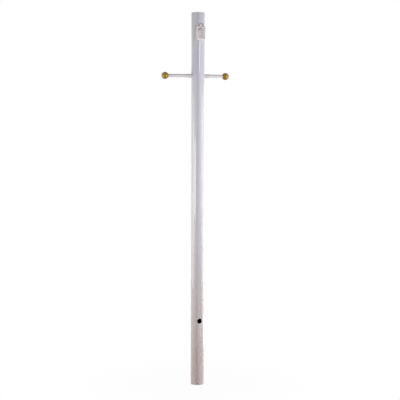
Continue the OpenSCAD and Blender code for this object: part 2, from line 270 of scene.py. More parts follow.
class Coating(Graph):
    """Node tree of one finish round its Principled shader."""

    def __init__(self, name: str) -> None:
        """Makes a material with its shader.

        Args:
            name: The material's name.
        """
        self.material = bpy.data.materials.new(name)
        super().__init__(self.material, "ShaderNodeOutputMaterial")
        shading = self.node("ShaderNodeBsdfPrincipled")
        self.shader = shading.link.node
        self.surface(shading)

    def rightwards(self) -> Socket:
        """0 on the left of the outlet and 1 on its right, fading over the stretch round its middle."""
        return self.part("X").ramp(-3 * MM, 9 * MM)

    def bump(self, height: Value, distance: float, strength: float) -> None:
        """Roughens the surface.

        Args:
            height: Height between 0 and 1.
            distance: Depth of the relief in metres.
            strength: Share of the relief that shows.
        """
        relief = self.node(
            "ShaderNodeBump", {}, {"Height": height, "Distance": distance, "Strength": strength}
        )
        self.set("Normal", relief)

    def set(self, name: str, value: Value) -> None:
        """Feeds an input of the Principled shader."""
        self.feed(self.shader.inputs[name], value)


@dataclass(frozen=True)
class Finish:
    """What every finish has: a name, the record's slot, a colour and a gloss."""

    name: str
    slot: str
    colour: Colour
    roughness: float

    def dress(self, graph: Coating) -> None:
        """Adds the finish's own nodes to a graph."""
        raise NotImplementedError

    def darker(self, share: float) -> list[float]:
        """The finish's colour, darkened to a share of itself."""
        return [share * channel for channel in self.colour]

    def material(self) -> bpy.types.Material:
        """The finish's material, made once."""
        return _material(self)


@lru_cache(maxsize=None)
def _material(finish: Finish) -> bpy.types.Material:
    """Builds a finish's material.

    Args:
        finish: The finish to build.

    Returns:
        A material with nodes.
    """
    graph = Coating(finish.name)
    finish.dress(graph)
    return graph.material


@dataclass(frozen=True)
class PowderCoat(Finish):
    """Glossy white powder coat with a faint orange peel, and painted shade towards the foot."""

    foot_shade_colour: Colour = (0.57, 0.482, 0.465)
    foot_height: float = 0.0
    head_height: float = 1.1

    def dress(self, graph: Coating) -> None:
        """Adds painted shade that turns the tone darker and warmer towards the foot, soft mottling and
        orange peel.

        Args:
            graph: Node tree to dress.
        """
        # Painted shade: the colour turns darker and warmer towards the foot, where less light falls.
        rise = graph.part("Z").ramp(self.foot_height, self.head_height)
        tone = graph.mix(rise, self.foot_shade_colour, self.colour)
        mottle = graph.noise(scale=14.0, detail=3.0, stretch=(1.0, 1.0, 0.35)).ramp(0.35, 0.7)
        graph.set("Base Color", graph.mix(mottle * 0.35, tone, self.darker(0.93)))
        wiped = graph.noise(scale=55.0, stretch=(1.0, 1.0, 0.04))
        graph.set("Roughness", self.roughness + (wiped - 0.5) * 0.16)
        graph.set("Specular IOR Level", 0.3)
        graph.set("Coat Weight", 0.7 + (graph.noise(scale=30.0) - 0.5) * 0.2)
        graph.set("Coat Roughness", 0.07)
        peel = graph.noise(scale=330.0, detail=1.5)
        graph.bump(peel, distance=0.08 * MM, strength=0.5)


@dataclass(frozen=True)
class BareTube(Finish):
    """Bare metal inside the tube, dull and streaked along its length, darkened as painted shade."""

    def dress(self, graph: Coating) -> None:
        """Adds drawing streaks in the colour and the gloss.

        Args:
            graph: Node tree to dress.
        """
        streak = graph.noise(scale=240.0, detail=3.0, stretch=(1.0, 1.0, 0.01))
        oxide = graph.noise(scale=22.0, detail=4.0).ramp(0.4, 0.7)
        # The dark base colour is partly painted shade: bare metal, darkened so that the inside of the tube
        # stays dark.
        tone = graph.mix(streak * 0.5, self.colour, self.darker(0.6))
        graph.set("Base Color", graph.mix(oxide * 0.4, tone, (0.2, 0.2, 0.2)))
        graph.set("Metallic", 0.8)
        graph.set("Roughness", self.roughness + oxide * 0.2)
        graph.bump(streak, distance=0.05 * MM, strength=0.6)


@dataclass(frozen=True)
class TurnedBrass(Finish):
    """Lacquered brass, turned, with a trace of tarnish."""

    tarnish: Colour = (0.2, 0.12, 0.045)

    def dress(self, graph: Coating) -> None:
        """Adds fine turning marks round the arm's axis and soft tarnish.

        Args:
            graph: Node tree to dress.
        """
        cloud = graph.noise(scale=70.0, detail=4.0).ramp(0.42, 0.78)
        graph.set("Base Color", graph.mix(cloud * 0.45, self.colour, self.tarnish))
        graph.set("Metallic", 1.0)
        graph.set("Roughness", self.roughness + cloud * 0.12)
        graph.set("Specular Tint", self.tarnish)
        graph.set("Coat Weight", 0.08)
        graph.set("Coat Roughness", 0.3)
        marks = graph.noise(scale=2200.0, detail=1.0, stretch=(1.0, 0.02, 0.02))
        graph.bump(marks, distance=0.03 * MM, strength=0.35)


@dataclass(frozen=True)
class MouldedPlastic(Finish):
    """Opaque moulded plastic with a satin skin."""

    def tone(self, graph: Coating) -> Socket:
        """The colour with flow clouds."""
        flow = graph.noise(scale=45.0).ramp(0.3, 0.75)
        return graph.mix(flow * 0.35, self.colour, self.darker(0.9))

    def dress(self, graph: Coating) -> None:
        """Adds the plastic's own tone and a fine grain.

        Args:
            graph: Node tree to dress.
        """
        graph.set("Base Color", self.tone(graph))
        skin = graph.noise(scale=900.0)
        graph.set("Roughness", self.roughness + (skin - 0.5) * 0.12)
        graph.bump(skin, distance=0.04 * MM, strength=0.4)


@dataclass(frozen=True)
class PlasticWithPaintedShade(MouldedPlastic):
    """Moulded plastic with painted shade: darker flanks, a lighter well and a shadow at the well's upper
    end.

    The flanks are painted darker beyond flank_to from the middle. The well starts at the depth of its
    mouth, and the painted shadow a set height above the middle.
    """

    flank_shade: Colour = (0.46, 0.45, 0.465)
    well_painted_light: Colour = (0.98, 0.915, 0.93)
    painted_shadow: Colour = (0.16, 0.14, 0.145)
    flank_from: float = 26 * MM
    flank_to: float = 28 * MM
    mouth: float = -43 * MM
    mouth_fade: float = 3 * MM
    middle: float = middle_of("outlet_gasket").z
    shadow_rise: float = 11.9 * MM
    shadow_fade: float = 8 * MM

    def tone(self, graph: Coating) -> Socket:
        """Paints shade on the left and right flanks, and painted light and a painted shadow in the well.

        Args:
            graph: Node tree to dress.

        Returns:
            The colour.
        """
        # Painted shade: the flanks are darker, as the side walls lie in shade.
        flank = abs(graph.part("X")).ramp(self.flank_from, self.flank_to)
        patchy = 0.8 + 0.2 * graph.noise(scale=90.0, detail=3.0)
        outside = graph.mix(flank * patchy, super().tone(graph), self.flank_shade)
        # Painted shadow: dark at the well's upper end, above a set height, strongest on the left.
        shadow_z = self.middle + self.shadow_rise
        high = graph.part("Z").ramp(shadow_z, shadow_z + self.shadow_fade)
        # Painted light: the well, from its mouth inwards, is painted lighter than the frame, as little
        # light reaches it.
        deep = graph.part("Y").ramp(self.mouth, self.mouth + self.mouth_fade)
        leftward = 1 - 0.7 * graph.rightwards()
        well = graph.mix(high * leftward * patchy, self.well_painted_light, self.painted_shadow)
        return graph.mix(deep * (1 - flank), outside, well)


@dataclass(frozen=True)
class ClearPlastic(Finish):
    """Clear polycarbonate that goes milky towards its thick walls.

    hazed, clear, milky and dense are shares of cover between 0 and 1. pane_depth and wall_depth are
    measured from the front, foot_drop down from the outlet's middle and the clearer part up from it.
    """

    hazed: float = 0.24
    clear: float = 0.1
    milky: float = 0.5
    dense: float = 0.92
    front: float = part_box("outlet_lid")[0].y
    pane_depth: float = 1.2 * MM
    wall_depth: float = 3.4 * MM
    middle: float = middle_of("outlet_gasket").z
    foot_drop: float = 35.1 * MM
    foot_fade: float = 3 * MM
    clear_rise: float = 10.9 * MM
    clear_fade: float = 8 * MM

    def dress(self, graph: Coating) -> None:
        """Adds a hazed pane, clearer at its upper left over the painted shadow, milky walls and a dense
        foot with the tab.

        Args:
            graph: Node tree to dress.
        """
        height = graph.part("Z")
        foot_z, clear_z = self.middle - self.foot_drop, self.middle + self.clear_rise
        depth = graph.part("Y").ramp(self.front + self.pane_depth, self.front + self.wall_depth)
        foot = 1 - height.ramp(foot_z, foot_z + self.foot_fade)
        haze = graph.noise(scale=60.0, detail=3.0).ramp(0.45, 0.8)
        # The pane is clearer at its upper left, so that the painted shadow in the well shows through.
        upper_part = height.ramp(clear_z, clear_z + self.clear_fade)
        left = 1 - graph.rightwards()
        pane = self.hazed - upper_part * left * (self.hazed - self.clear)
        wall = pane + depth * (self.milky - pane) + haze * 0.04
        graph.set("Base Color", graph.mix(haze * 0.4, self.colour, (0.95, 0.93, 0.92)))
        graph.set("Alpha", wall + foot * (self.dense - wall))
        graph.set("Roughness", self.roughness + haze * 0.1 + foot * 0.25)
        graph.set("Coat Weight", 0.4 - foot * 0.3)
        graph.set("Coat Roughness", 0.1)
        graph.bump(graph.noise(scale=500.0, detail=1.0), distance=0.03 * MM, strength=0.3)


@dataclass(frozen=True)
class Rubber(Finish):
    """Matt black rubber with a bloom."""

    def dress(self, graph: Coating) -> None:
        """Adds grey bloom and fine pores.

        Args:
            graph: Node tree to dress.
        """
        bloom = graph.noise(scale=120.0, detail=4.0).ramp(0.45, 0.8)
        graph.set("Base Color", graph.mix(bloom * 0.4, self.colour, (0.09, 0.09, 0.09)))
        graph.set("Roughness", self.roughness - bloom * 0.1)
        graph.bump(graph.noise(scale=1500.0), distance=0.06 * MM, strength=0.6)


@dataclass(frozen=True)
class BrightMetal(Finish):
    """Bare or plated metal with fine scratches, as on screws, pins, springs and contacts."""

    metallic: float = 1.0

    def dress(self, graph: Coating) -> None:
        """Adds scratches in the gloss and a slight change of tone.

        Args:
            graph: Node tree to dress.
        """
        scratch = graph.noise(scale=1800.0, stretch=(1.0, 0.15, 0.15))
        stain = graph.noise(scale=260.0, detail=3.0).ramp(0.5, 0.8)
        graph.set("Base Color", graph.mix(stain * 0.35, self.colour, self.darker(0.55)))
        graph.set("Metallic", self.metallic)
        graph.set("Roughness", self.roughness + scratch * 0.12)
        graph.bump(scratch, distance=0.02 * MM, strength=0.4)


@dataclass(frozen=True)
class ZincSheet(Finish):
    """Zinc plate with spangle."""

    def dress(self, graph: Coating) -> None:
        """Adds flakes of zinc in the tone and the gloss.

        Args:
            graph: Node tree to dress.
        """
        flake = graph.node("ShaderNodeTexVoronoi", {}, {"Vector": graph.place(), "Scale": 260.0}, "Color")
        shade = graph.node("ShaderNodeSeparateColor", {}, {0: flake})
        graph.set("Base Color", graph.mix(shade * 0.5, self.colour, self.darker(0.7)))
        graph.set("Metallic", 0.9)
        graph.set("Roughness", self.roughness + shade * 0.15)
        graph.bump(shade, distance=0.02 * MM, strength=0.3)


class Finishes(Enum):
    """The finishes of the post's pieces."""

    POST = PowderCoat("post_powder_coat", "post_paint", (0.64, 0.625, 0.695), 0.34)
    ARM = PowderCoat("arm_powder_coat", "arm_paint", (0.73, 0.69, 0.71), 0.32)
    INSIDE = BareTube("tube_inside", "post_paint", (0.3, 0.3, 0.31), 0.5)
    BRASS = TurnedBrass("ball_brass", "ball_brass", (0.3, 0.185, 0.04), 0.52)
    GASKET = Rubber("gasket_rubber", "gasket_rubber", (0.022, 0.021, 0.02), 0.75)
    FRAME = PlasticWithPaintedShade("frame_plastic", "frame_plastic", (0.76, 0.7, 0.715), 0.33)
    FACE = MouldedPlastic("receptacle_plastic", "receptacle_plastic", (0.98, 0.905, 0.915), 0.36)
    LID = ClearPlastic("lid_plastic", "lid_plastic", (0.96, 0.88, 0.89), 0.18)
    SCREW = BrightMetal("screw_steel", "screw_steel", (0.55, 0.55, 0.56), 0.25)
    SPRING = BrightMetal("spring_steel", "spring_steel", (0.55, 0.55, 0.57), 0.4)
    CONTACT = BrightMetal("contact_brass", "terminal_brass", (0.62, 0.42, 0.13), 0.3)
    EARTH = BrightMetal("earth_green", "terminal_green", (0.02, 0.17, 0.05), 0.35, 0.5)
    STRAP = ZincSheet("strap_zinc", "strap_steel", (0.46, 0.46, 0.47), 0.35)


# ---- Shaping ----

# Signs of a rectangle's corners, anticlockwise from the upper right.
QUARTERS = ((1, 1), (-1, 1), (-1, -1), (1, -1))
# Points of a turned piece that lie closer than this become one.
MERGE_DISTANCE = 0.002 * MM
# Angle in degrees from which an edge counts as sharp.
SHARP_ANGLE = 50.0


def turned(profile: Sequence[Point], axis: Axis, centre: Vector, steps: int) -> BMesh:
    """Turns a profile about an axis.

    Args:
        profile: Points of (radius, distance along the axis), joined end to end unless they end on the axis.
        axis: Direction of the axis.
        centre: Point on the axis from which distances are measured.
        steps: Faces round the piece.

    Returns:
        A closed mesh.
    """
    bm = bmesh.new()
    verts = [bm.verts.new(centre + axis.out * radius + axis.along * place) for radius, place in profile]
    edges = [bm.edges.new(pair) for pair in zip(verts, verts[1:])]
    if profile[0][0] > 0 and profile[-1][0] > 0:
        edges.append(bm.edges.new((verts[-1], verts[0])))
    bmesh.ops.spin(
        bm,
        geom=verts + edges,
        cent=centre,
        axis=axis.along,
        angle=math.tau,
        steps=steps,
        use_merge=True,
    )
    bmesh.ops.remove_doubles(bm, verts=bm.verts, dist=MERGE_DISTANCE)
    bmesh.ops.recalc_face_normals(bm, faces=bm.faces)
    return bm


def rod(radius: float, start: float, end: float, axis: Axis, centre: Vector, steps: int) -> BMesh:
    """Turns a plain cylinder.

    Args:
        radius: Its radius.
        start: Distance along the axis at which it starts.
        end: Distance at which it ends.
        axis: Direction of the axis.
        centre: Point on the axis from which distances are measured.
        steps: Faces round the piece.

    Returns:
        A closed mesh.
    """
    return turned([(0, start), (radius, start), (radius, end), (0, end)], axis, centre, steps)


def rounded_profile(corners: Sequence[Point], radius: float) -> list[Point]:
    """Rounds the inner corners of an open profile.

    Args:
        corners: Corner points of (radius, distance).
        radius: Size of the rounding.

    Returns:
        The profile with its corners rounded.
    """
    steps = 3
    points = [corners[0]]
    for before, corner, after in zip(corners, corners[1:], corners[2:]):
        here, back, on = Vector(corner), Vector(before) - Vector(corner), Vector(after) - Vector(corner)
        reach = min(radius, back.length / 2.01, on.length / 2.01)
        start, end = here + back.normalized() * reach, here + on.normalized() * reach
        for step in range(steps + 1):
            share = step / steps
            point = start.lerp(here, share).lerp(here.lerp(end, share), share)
            points.append((point.x, point.y))
    points.append(corners[-1])
    return points


def pipe_profile(bore: float, out: float, low: float, high: float, edge: float) -> list[Point]:
    """Profile of a pipe with rounded rims.

    Args:
        bore: Inner radius.
        out: Outer radius.
        low: Distance along the axis at which the pipe starts.
        high: Distance at which it ends.
        edge: Size of the rounding.

    Returns:
        Points of (radius, distance), to be joined end to end.
    """
    start = (bore, (low + high) / 2)
    return rounded_profile([start, (bore, low), (out, low), (out, high), (bore, high), start], edge)[:-1]


def rounded_edge(radius: float, steps: int) -> list[Point]:
    """Walks round an edge from a piece's side to its front.

    Args:
        radius: Radius of the edge.
        steps: Steps of the walk.

    Returns:
        How far each point lies in from the side and back from the front.
    """
    angles = [math.radians(90 * step / steps) for step in range(steps + 1)]
    return [(radius * (1 - math.cos(angle)), radius * (1 - math.sin(angle))) for angle in angles]


def on_flattened(radius: float, half: float, angle: float) -> Point:
    """A point of a circle that is cut flat at the top and the bottom, half its height from the middle."""
    return radius * math.cos(angle), max(-half, min(half, radius * math.sin(angle)))


class Sleeve:
    """A skin that is drawn ring by ring through loops of points."""

    def __init__(self, loops: Sequence[Sequence[Vector]]) -> None:
        """Draws the skin.

        Args:
            loops: Loops with the same number of points in the same order.
        """
        self.bm = bmesh.new()
        self.start = list(bmesh.ops.create_circle(self.bm, segments=len(loops[0]), radius=1.0)["verts"])
        self.ring = self.start
        self._put(loops[0])
        for loop in loops[1:]:
            self._grow(loop)

    def _put(self, points: Sequence[Vector]) -> None:
        """Places the current ring on the points."""
        for vert, point in zip(self.ring, points):
            vert.co = point

    def _edges(self, ring: Sequence[BMVert]) -> list[BMEdge]:
        """The edges of a ring."""
        return [self.bm.edges.get(pair) for pair in zip(ring, [*ring[1:], ring[0]])]

    def _grow(self, points: Sequence[Vector]) -> None:
        """Extrudes the last ring onto the next loop.

        Args:
            points: The loop's points.
        """
        made = bmesh.ops.extrude_edge_only(self.bm, edges=self._edges(self.ring))
        fresh = {item for item in made["geom"] if isinstance(item, BMVert)}
        self.ring = [
            next(edge.other_vert(vert) for edge in vert.link_edges if edge.other_vert(vert) in fresh)
            for vert in self.ring
        ]
        self._put(points)

    def joined(self) -> BMesh:
        """Bridges the last ring to the first, and returns the closed mesh."""
        bmesh.ops.bridge_loops(self.bm, edges=self._edges(self.ring) + self._edges(self.start))
        return self._done()

    def capped(self) -> BMesh:
        """Fills the first and the last ring.

        Returns:
            The closed mesh.
        """
        for ring in (self.start, self.ring):
            bmesh.ops.edgeloop_fill(self.bm, edges=self._edges(ring))
        return self._done()

    def _done(self) -> BMesh:
        """Turns the faces outwards, and returns the mesh."""
        bmesh.ops.recalc_face_normals(self.bm, faces=self.bm.faces)
        return self.bm


def bevel(bm: BMesh, edges: Sequence[BMEdge], width: float) -> None:
    """Bevels some edges of a mesh.

    Args:
        bm: The mesh.
        edges: The edges to bevel.
        width: Width of the bevel.
    """
    bmesh.ops.bevel(
        bm,
        geom=edges,
        offset=width,
        offset_type="OFFSET",
        affect="EDGES",
        segments=2,
        profile=0.5,
        material=-1,
        clamp_overlap=True,
    )


def soften(bm: BMesh, width: float) -> BMesh:
    """Bevels the sharp edges of a closed mesh.

    Args:
        bm: The mesh.
        width: Width of the bevel.

    Returns:
        The same mesh.
    """
    limit = math.radians(SHARP_ANGLE)
    bevel(bm, [e for e in bm.edges if len(e.link_faces) == 2 and e.calc_face_angle() > limit], width)
    return bm


def together(parts: Iterable[BMesh]) -> BMesh:
    """Puts several meshes into one.

    Args:
        parts: The meshes, which are used up.

    Returns:
        One mesh with all their faces.
    """
    whole = bmesh.new()
    for part in parts:
        carrier = bpy.data.meshes.new("carrier")
        part.to_mesh(carrier)
        part.free()
        whole.from_mesh(carrier)
        bpy.data.meshes.remove(carrier)
    return whole


def block(low: Vector, high: Vector, edge: float) -> BMesh:
    """A block with softened edges.

    Args:
        low: Lowest corner.
        high: Highest corner.
        edge: Width of the bevel on its edges.

    Returns:
        A closed mesh.
    """
    bm = bmesh.new()
    bmesh.ops.create_cube(bm, size=1.0)
    bmesh.ops.scale(bm, vec=high - low, verts=bm.verts)
    bmesh.ops.translate(bm, vec=(low + high) / 2, verts=bm.verts)
    return soften(bm, edge)


def carved(body: BMesh, cutters: Iterable[BMesh]) -> BMesh:
    """Takes the cutters out of a closed mesh.

    Args:
        body: Mesh that is cut, which is used up.
        cutters: Closed meshes to take out, which are used up.

    Returns:
        The mesh that is left.
    """
    target = as_object("carved", body)
    tools = [as_object("cutter", cutter) for cutter in cutters]
    for tool in tools:
        modifier = target.modifiers.new("cut", "BOOLEAN")
        modifier.operation, modifier.solver, modifier.object = "DIFFERENCE", "EXACT", tool
    left = bpy.data.meshes.new_from_object(target.evaluated_get(bpy.context.evaluated_depsgraph_get()))
    bm = bmesh.new()
    bm.from_mesh(left)
    bpy.data.meshes.remove(left)
    for piece in (target, *tools):
        mesh = piece.data
        bpy.data.objects.remove(piece)
        bpy.data.meshes.remove(mesh)
    return bm


def as_object(name: str, bm: BMesh) -> bpy.types.Object:
    """Puts a mesh into the scene as an object.

    Args:
        name: Name of the object.
        bm: Its mesh, which is used up.

    Returns:
        The object.
    """
    mesh = bpy.data.meshes.new(name)
    bm.to_mesh(mesh)
    bm.free()
    made = bpy.data.objects.new(name, mesh)
    bpy.context.scene.collection.objects.link(made)
    return made


@dataclass(frozen=True)
class Outline:
    """A rounded rectangle, seen from the front."""

    width: float
    height: float
    radius: float
    least_radius: float = 0.6 * MM
    corner_steps: int = 14
    run_steps: int = 6

    def inset(self, depth: float) -> "Outline":
        """Moves the outline inwards, or outwards where the depth is negative.

        Args:
            depth: How far it is moved.

        Returns:
            The moved outline.
        """
        return replace(
            self,
            width=self.width - 2 * depth,
            height=self.height - 2 * depth,
            radius=max(self.radius - depth, self.least_radius),
        )

    def _on_corner(self, corner: int, share: float) -> Vector:
        """A point on one of the corners.

        Args:
            corner: Number of the corner, in the order of QUARTERS.
            share: Share of the corner's arc that lies before the point.

        Returns:
            The point as (across, up).
        """
        across, up = QUARTERS[corner % 4]
        angle = math.radians(90 * (corner + share))
        right = across * (self.width / 2 - self.radius) + self.radius * math.cos(angle)
        above = up * (self.height / 2 - self.radius) + self.radius * math.sin(angle)
        return Vector((right, above))

    def points(self) -> list[Vector]:
        """Walks round the outline.

        Returns:
            Points as (across, up), the same number for every outline with the same steps.
        """
        found: list[Vector] = []
        shares = [step / self.corner_steps for step in range(self.corner_steps + 1)]
        for corner in range(4):
            found += [self._on_corner(corner, share) for share in shares]
            last, following = found[-1], self._on_corner(corner + 1, 0.0)
            found += [last.lerp(following, step / self.run_steps) for step in range(1, self.run_steps)]
        return found


# ---- Pieces ----


@dataclass(frozen=True)
class Piece:
    """How a finished piece is named, what it rides on and which CAD nodes it stands for."""

    name: str
    body: str
    finish: Finishes
    stands_for: tuple[str, ...]

    def put(self, bm: BMesh, crease: float = 35.0) -> bpy.types.Object:
        """Makes the piece's object from its mesh.

        Args:
            bm: The mesh in its place, which is used up.
            crease: Angle in degrees above which an edge stays sharp.

        Returns:
            The dressed object.
        """
        made = as_object(self.name, bm)
        made.data.name = self.name
        made.data.materials.append(self.finish.value.material())
        made.data.shade_smooth()
        made.data.set_sharp_from_angle(angle=math.radians(crease))
        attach(made, self.body)
        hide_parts(*self.stands_for)
        LOG.info("%s: %d faces", self.name, len(made.data.polygons))
        return made


def dress_node(node: str, finish: Finishes) -> None:
    """Gives a CAD node that stays its finish.

    Args:
        node: Name of the node.
        finish: The finish.
    """
    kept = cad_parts[node]
    material = finish.value.material()
    for holder in kept.material_slots:
        holder.material = material
    LOG.info("%s: kept, dressed in %s", node, finish.value.name)


# ---- Screws ----


@dataclass(frozen=True)
class PanHead:
    """A pan head screw with a cross recess, head up, its seat on the plane z = 0."""

    head: float
    height: float
    shank: float
    length: float
    head_edge: float = 0.12 * MM
    tip_length: float = 0.6 * MM
    tip_taper: float = 0.5 * MM
    rim_share: float = 0.35
    crown_steps: int = 7
    steps: int = 40

    def mesh(self, place: Matrix) -> BMesh:
        """Makes the screw in its place.

        Args:
            place: Where the seat goes.

        Returns:
            A closed mesh.
        """
        profile = [(0.0, self.height)]
        for step in range(1, self.crown_steps + 1):
            angle = math.radians(90 * step / self.crown_steps)
            rise = self.rim_share + (1 - self.rim_share) * math.cos(angle)
            profile.append((self.head * math.sin(angle), self.height * rise))
        profile += [
            (self.head, self.head_edge),
            (self.head - self.head_edge, 0.0),
            (self.shank, 0.0),
            (self.shank, -self.length + self.tip_length),
            (self.shank - self.tip_taper, -self.length),
            (0.0, -self.length),
        ]
        body = turned(profile, Axis.Z, Vector(), self.steps)
        bm = carved(body, [self._blade(turn) for turn in (0, math.pi / 2)])
        bmesh.ops.transform(bm, matrix=place, verts=bm.verts)
        return bm

    def _blade(self, turn: float) -> BMesh:
        """Makes one tapered bar of the recess.

        Args:
            turn: Angle about the screw's axis.

        Returns:
            A closed mesh.
        """
        reach, half, floor = self.head * 0.62, self.head * 0.13, self.height * 0.3
        loops = []
        for share, z in ((0.55, floor), (1.0, self.height), (1.3, self.height * 1.6)):
            long, wide = reach * share, half * (0.7 + 0.3 * share)
            loops.append([Vector((across * long, up * wide, z)) for across, up in QUARTERS])
        bm = Sleeve(loops).capped()
        bmesh.ops.rotate(bm, verts=bm.verts, cent=(0, 0, 0), matrix=Matrix.Rotation(turn, 3, "Z"))
        return bm


# ---- Post ----


@dataclass
class PostTube:
    """The round tube with its wire entry, the arm's holes and the outlet's opening."""

    wall: float = 3 * MM
    rim_round: float = 0.5 * MM
    entry_radius: float = 14.3 * MM
    entry_z: float = 371.5 * MM
    entry_edge: float = 0.45 * MM
    arm_hole: float = 9.675 * MM
    opening: Outline = Outline(44 * MM, 60 * MM, 19 * MM)
    opening_end: float = -8 * MM
    cutter_spare: float = 5 * MM
    steps: int = 192
    entry_steps: int = 72
    arm_hole_steps: int = 64

    def __post_init__(self) -> None:
        """Reads the tube's size and the places of what it carries."""
        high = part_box("post_tube")[1]
        self.radius, self.top = high.x, high.z
        self.arm_z = middle_of("arm_bar").z
        self.outlet_z = middle_of("outlet_gasket").z

    def build(self) -> None:
        """Makes the tube, painted outside and bare inside."""
        profile = pipe_profile(self.radius - self.wall, self.radius, 0.0, self.top, self.rim_round)
        bm = carved(turned(profile, Axis.Z, Vector(), self.steps), self.cutters())
        bevel(bm, [edge for edge in bm.edges if all(map(self._on_entry_rim, edge.verts))], self.entry_edge)
        bare = self.radius - self.wall + 0.2 * MM
        for face in bm.faces:
            centre = face.calc_center_median()
            face.material_index = int(math.hypot(centre.x, centre.y) < bare)
        made = Piece("tube", "post", Finishes.POST, ("post_tube",)).put(bm)
        made.data.materials.append(Finishes.INSIDE.value.material())

    def cutters(self) -> list[BMesh]:
        """Makes what is taken out of the tube.

        Returns:
            Closed meshes for the wire entry, the arm's two holes and the outlet's opening.
        """
        reach = self.radius + self.cutter_spare
        entry = rod(self.entry_radius, -reach, 0.0, Axis.Y, Vector((0, 0, self.entry_z)), self.entry_steps)
        arm = rod(self.arm_hole, -reach, reach, Axis.X, Vector((0, 0, self.arm_z)), self.arm_hole_steps)
        front = [Vector((p.x, -reach, self.outlet_z + p.y)) for p in self.opening.points()]
        back = [Vector((p.x, self.opening_end, p.z)) for p in front]
        return [entry, arm, Sleeve([front, back]).capped()]

    def _on_entry_rim(self, vert: BMVert) -> bool:
        """Tells whether a vertex lies on the wire entry's outer edge.

        Args:
            vert: The vertex.

        Returns:
            True where it lies both on the entry's wall and on the outside of the tube.
        """
        off_wall = math.hypot(vert.co.x, vert.co.z - self.entry_z) - self.entry_radius
        off_outside = math.hypot(vert.co.x, vert.co.y) - self.radius
        return abs(off_wall) < 0.05 * MM and abs(off_outside) < 0.1 * MM


# ---- Cross arm ----


